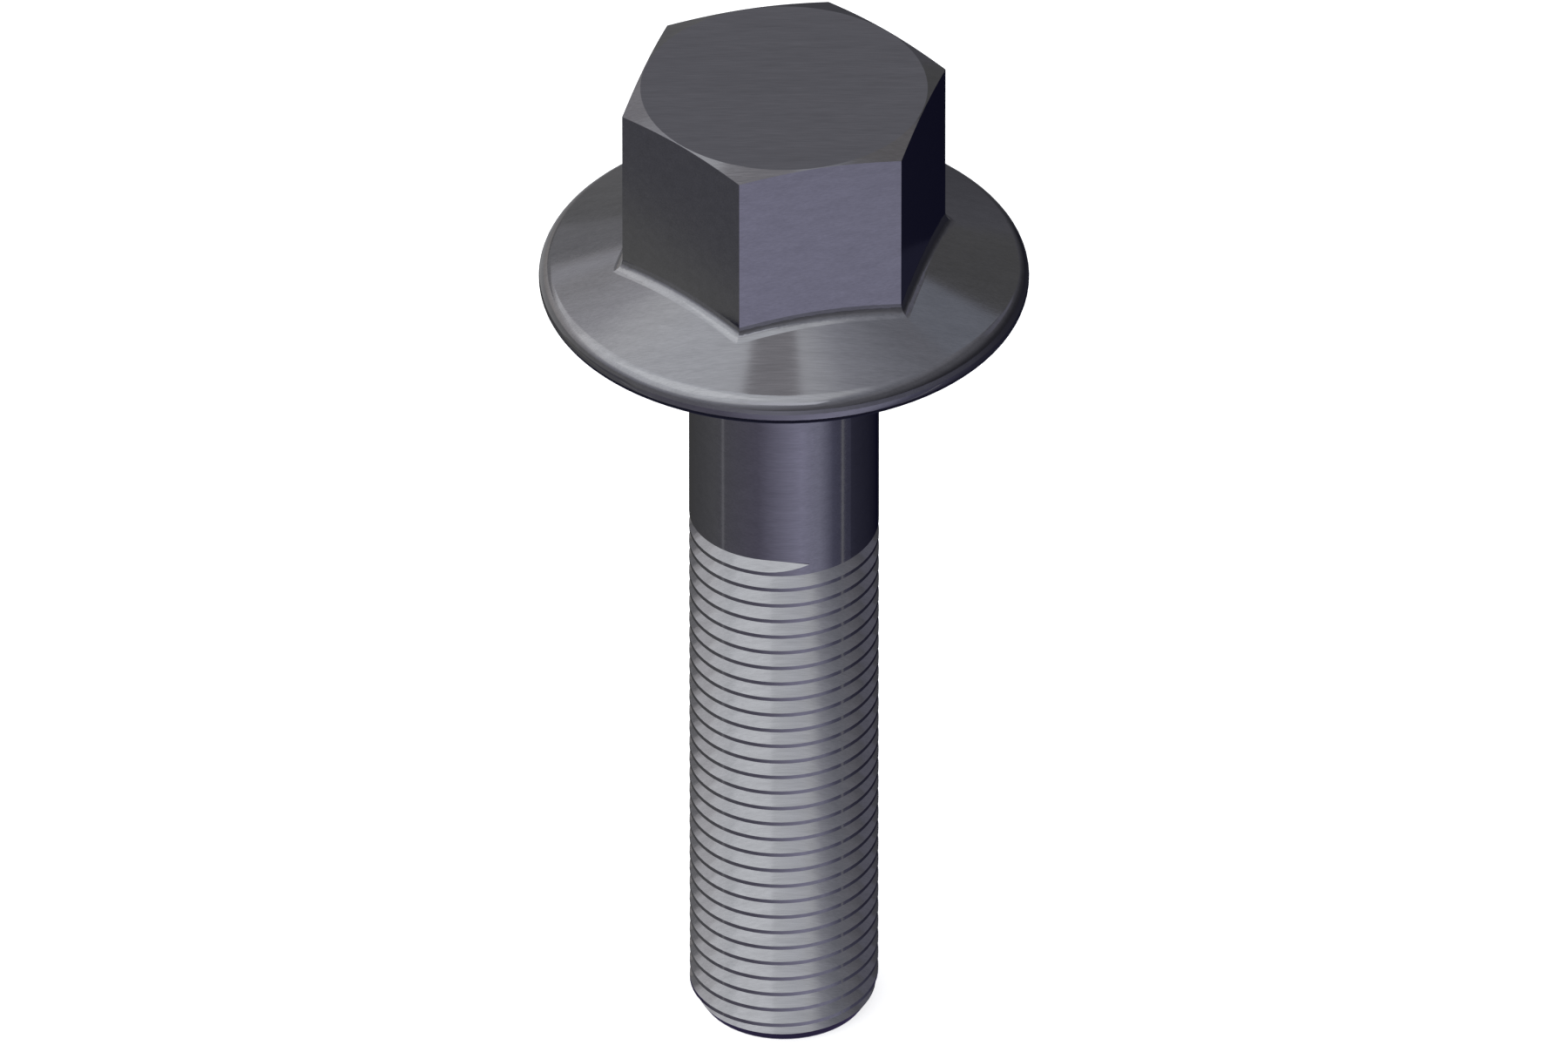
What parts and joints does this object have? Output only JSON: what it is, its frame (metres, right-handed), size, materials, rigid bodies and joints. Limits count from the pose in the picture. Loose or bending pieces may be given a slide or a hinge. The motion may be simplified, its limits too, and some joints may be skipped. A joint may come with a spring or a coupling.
{
  "type": "flange bolt",
  "caption": "Hex flange bolt, one piece: tall hexagon head on a wide sloping flange, plain shank under the head, then a fine right-hand thread to a chamfered tip.",
  "frame": {"origin": "centre of the flange's bearing face, on the bolt's axis", "axes": "+Z along the bolt's axis towards the head, two corners of the hexagon on the X axis"},
  "size_m": [0.0254, 0.0254, 0.0577],
  "materials": {
    "bolt_steel": "dark grey steel, finely brushed, satin"
  },
  "bodies": {
    "root": {"flange_bolt": "bolt_steel"}
  },
  "joints": []
}
